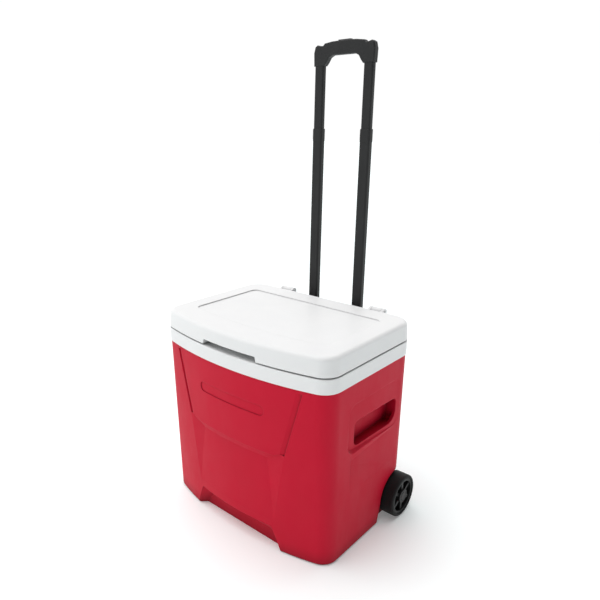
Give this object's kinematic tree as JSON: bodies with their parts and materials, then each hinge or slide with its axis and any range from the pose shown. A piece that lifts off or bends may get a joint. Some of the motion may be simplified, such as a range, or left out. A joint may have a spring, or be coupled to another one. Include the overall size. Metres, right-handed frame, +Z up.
{
  "type": "wheeled cooler",
  "caption": "Hard-sided cooler on two rear wheels with a hinged insulated lid, moulded side hand grips and a two-stage telescoping pull handle at the back.",
  "frame": {"origin": "middle of the flat underside of the tub, on the floor plane", "axes": "+X to the user's right when facing the front, +Y towards the handle at the back, +Z up; rest pose has the lid shut and the handle pulled out to its stops"},
  "size_m": [0.45, 0.3397, 0.9085],
  "materials": {
    "shell_red": "satin",
    "liner_white": "satin",
    "foam": "matte",
    "housing_black": "satin",
    "grip_black": "satin",
    "button_grey": "satin",
    "tube_black": "satin",
    "sleeve_steel": "brushed",
    "fastener_steel": "satin",
    "spacer_plastic": "matte",
    "tyre_black": "matte",
    "hub_black": "satin"
  },
  "bodies": {
    "tub": {"outer_shell": "shell_red", "tub_foam": "foam", "inner_liner": "liner_white", "handle_housing": "housing_black", "housing_screws": "fastener_steel", "fixed_sleeve_left": "sleeve_steel", "fixed_sleeve_right": "sleeve_steel", "hinge_bracket_left": "liner_white", "hinge_bracket_right": "liner_white", "hinge_pin_left": "fastener_steel", "hinge_pin_right": "fastener_steel", "hinge_screws": "fastener_steel", "axle_left": "fastener_steel", "axle_right": "fastener_steel", "axle_nut_left": "fastener_steel", "axle_nut_right": "fastener_steel", "axle_spacer_left": "spacer_plastic", "axle_spacer_right": "spacer_plastic"},
    "lid": {"lid_cover": "liner_white", "lid_liner": "liner_white", "lid_foam": "foam"},
    "lower_left": {"lower_tube_left": "tube_black", "tube_collar_left": "housing_black"},
    "lower_right": {"lower_tube_right": "tube_black", "tube_collar_right": "housing_black"},
    "upper": {"upper_tube_left": "tube_black", "upper_tube_right": "tube_black", "upper_shoe_left": "housing_black", "upper_shoe_right": "housing_black", "grip_front": "grip_black", "grip_back": "grip_black", "release_spring": "fastener_steel"},
    "release": {"release_button": "button_grey", "release_bar": "housing_black", "release_rod_left": "fastener_steel", "release_rod_right": "fastener_steel"},
    "wheel_left": {"wheel_tyre_left": "tyre_black", "wheel_hub_left": "hub_black", "wheel_cap_left": "hub_black"},
    "wheel_right": {"wheel_tyre_right": "tyre_black", "wheel_hub_right": "hub_black", "wheel_cap_right": "hub_black"}
  },
  "joints": [
    {"name": "lid_hinge", "type": "hinge", "parent": "tub", "child": "lid", "pos_m": [0, 0.158, 0.402], "axis": [-1, 0, 0], "range_deg": [0, 90]},
    {"name": "lower_left_slide", "type": "slide", "parent": "tub", "child": "lower_left", "axis": [0, 0, 1], "range_m": [-0.328, 0]},
    {"name": "lower_right_slide", "type": "slide", "parent": "tub", "child": "lower_right", "axis": [0, 0, 1], "range_m": [-0.328, 0]},
    {"name": "upper_slide", "type": "slide", "parent": "lower_left", "child": "upper", "axis": [0, 0, 1], "range_m": [-0.112, 0]},
    {"name": "release_press", "type": "slide", "parent": "upper", "child": "release", "axis": [0, 0, -1], "range_m": [0, 0.004], "stiffness_N_per_m": 800, "springref_m": -0.002, "deforming": ["release_spring"]},
    {"name": "wheel_left_spin", "type": "hinge", "parent": "tub", "child": "wheel_left", "pos_m": [-0.209, 0.118, 0.0435], "axis": [1, 0, 0], "continuous": true},
    {"name": "wheel_right_spin", "type": "hinge", "parent": "tub", "child": "wheel_right", "pos_m": [0.209, 0.118, 0.0435], "axis": [1, 0, 0], "continuous": true}
  ],
  "couplings": [
    {"joint": "lower_right_slide", "follows": "lower_left_slide", "ratio": 1}
  ]
}
